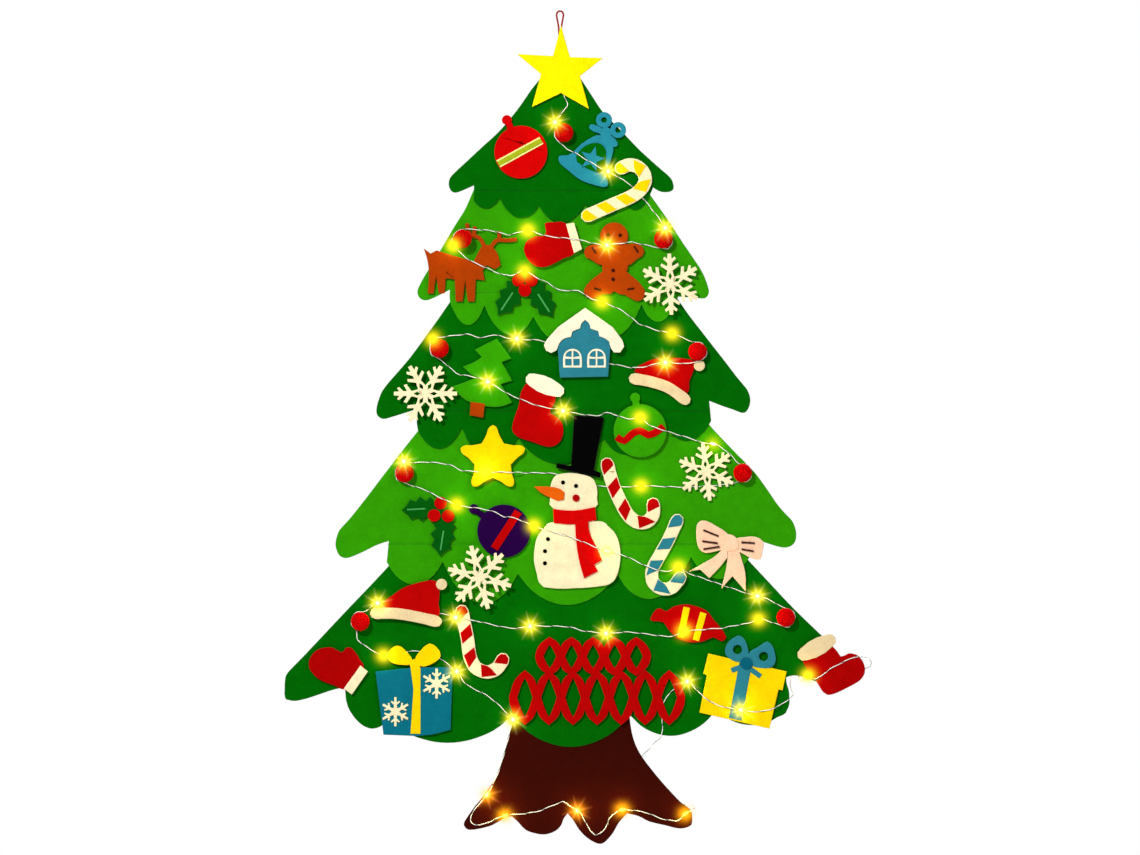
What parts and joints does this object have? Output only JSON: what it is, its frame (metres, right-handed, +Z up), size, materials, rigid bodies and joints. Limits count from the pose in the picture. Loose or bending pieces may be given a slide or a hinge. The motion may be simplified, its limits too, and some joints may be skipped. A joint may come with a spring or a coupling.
{
  "type": "felt christmas tree",
  "caption": "Felt wall tree with overlapping scalloped tiers, a trunk, pull-off felt ornaments, pompoms, a battery string of lights and a hanging loop.",
  "frame": {"origin": "inside top of the hanging loop's eye, where a nail bears", "axes": "+Z up, front of the tree towards -Y, +X to the viewer's right, and the wall behind at +Y"},
  "size_m": [0.7028, 0.0447, 0.9997],
  "materials": {
    "dark_green_felt": "felt",
    "light_green_felt": "felt",
    "trunk_felt": "felt",
    "red_yarn": "fluffy yarn",
    "cream_felt": "felt",
    "yellow_felt": "felt",
    "red_felt": "felt",
    "blue_felt": "felt",
    "purple_felt": "felt",
    "brown_felt": "felt",
    "pink_felt": "felt",
    "black_felt": "felt",
    "orange_felt": "felt",
    "red_cord": "twisted cord",
    "silver_wire": "bright coated wire",
    "white_plastic": "moulded",
    "dark_plastic": "moulded",
    "cell_jacket": "printed jacket, plain"
  },
  "bodies": {
    "tree": {"battery_box": "white_plastic", "blue_bell": "blue_felt", "blue_cane": "cream_felt", "cell_1": "cell_jacket", "cell_2": "cell_jacket", "cell_3": "cell_jacket", "gingerbread_man": "brown_felt", "green_bauble": "light_green_felt", "hanging_loop": "red_cord", "left_santa_hat": "red_felt", "light_string": "silver_wire", "little_tree": "light_green_felt", "lower_holly": "dark_green_felt", "lower_red_cane": "cream_felt", "lower_stocking": "red_felt", "pompom_1": "red_yarn", "pompom_2": "red_yarn", "pompom_3": "red_yarn", "pompom_4": "red_yarn", "pompom_5": "red_yarn", "pompom_6": "red_yarn", "pompom_7": "red_yarn", "pompom_8": "red_yarn", "pompom_9": "red_yarn", "purple_bauble": "purple_felt", "red_garland": "red_felt", "reindeer": "brown_felt", "right_santa_hat": "red_felt", "snowman": "cream_felt", "snowman_hat": "black_felt", "snowman_nose": "orange_felt", "snowman_scarf": "red_felt", "tier_1": "dark_green_felt", "tier_2": "light_green_felt", "tier_3": "dark_green_felt", "tier_4": "light_green_felt", "tier_5": "dark_green_felt", "trunk": "trunk_felt", "upper_holly": "dark_green_felt", "upper_mitten": "red_felt", "upper_stocking": "red_felt", "wrapped_candy": "red_felt", "yellow_gift": "yellow_felt", "yellow_star": "yellow_felt"},
    "top_star_piece": {"top_star": "yellow_felt"},
    "red_bauble_piece": {"red_bauble": "red_felt"},
    "yellow_candy_cane_piece": {"yellow_candy_cane": "cream_felt"},
    "snowflake_1_piece": {"snowflake_1": "cream_felt"},
    "snowflake_2_piece": {"snowflake_2": "cream_felt"},
    "snowflake_3_piece": {"snowflake_3": "cream_felt"},
    "snowflake_4_piece": {"snowflake_4": "cream_felt"},
    "upper_red_cane_piece": {"upper_red_cane": "cream_felt"},
    "cottage_piece": {"cottage": "blue_felt"},
    "lower_mitten_piece": {"lower_mitten": "red_felt"},
    "blue_gift_piece": {"blue_gift": "blue_felt"},
    "pink_bow_piece": {"pink_bow": "pink_felt"},
    "cover": {"battery_cover": "white_plastic"},
    "switch": {"switch_slider": "dark_plastic"}
  },
  "joints": [
    {"name": "top_star_pull", "type": "slide", "parent": "tree", "child": "top_star_piece", "axis": [0, -1, 0], "range_m": [0, 0.04]},
    {"name": "red_bauble_pull", "type": "slide", "parent": "tree", "child": "red_bauble_piece", "axis": [0, -1, 0], "range_m": [0, 0.04]},
    {"name": "yellow_candy_cane_pull", "type": "slide", "parent": "tree", "child": "yellow_candy_cane_piece", "axis": [0, -1, 0], "range_m": [0, 0.04]},
    {"name": "snowflake_1_pull", "type": "slide", "parent": "tree", "child": "snowflake_1_piece", "axis": [0, -1, 0], "range_m": [0, 0.04]},
    {"name": "snowflake_2_pull", "type": "slide", "parent": "tree", "child": "snowflake_2_piece", "axis": [0, -1, 0], "range_m": [0, 0.04]},
    {"name": "snowflake_3_pull", "type": "slide", "parent": "tree", "child": "snowflake_3_piece", "axis": [0, -1, 0], "range_m": [0, 0.04]},
    {"name": "snowflake_4_pull", "type": "slide", "parent": "tree", "child": "snowflake_4_piece", "axis": [0, -1, 0], "range_m": [0, 0.04]},
    {"name": "upper_red_cane_pull", "type": "slide", "parent": "tree", "child": "upper_red_cane_piece", "axis": [0, -1, 0], "range_m": [0, 0.04]},
    {"name": "cottage_pull", "type": "slide", "parent": "tree", "child": "cottage_piece", "axis": [0, -1, 0], "range_m": [0, 0.04]},
    {"name": "lower_mitten_pull", "type": "slide", "parent": "tree", "child": "lower_mitten_piece", "axis": [0, -1, 0], "range_m": [0, 0.04]},
    {"name": "blue_gift_pull", "type": "slide", "parent": "tree", "child": "blue_gift_piece", "axis": [0, -1, 0], "range_m": [0, 0.04]},
    {"name": "pink_bow_pull", "type": "slide", "parent": "tree", "child": "pink_bow_piece", "axis": [0, -1, 0], "range_m": [0, 0.04]},
    {"name": "cover_slide", "type": "slide", "parent": "tree", "child": "cover", "axis": [0, 0, -1], "range_m": [0, 0.05]},
    {"name": "switch_slide", "type": "slide", "parent": "tree", "child": "switch", "axis": [1, 0, 0], "range_m": [0, 0.004]}
  ]
}
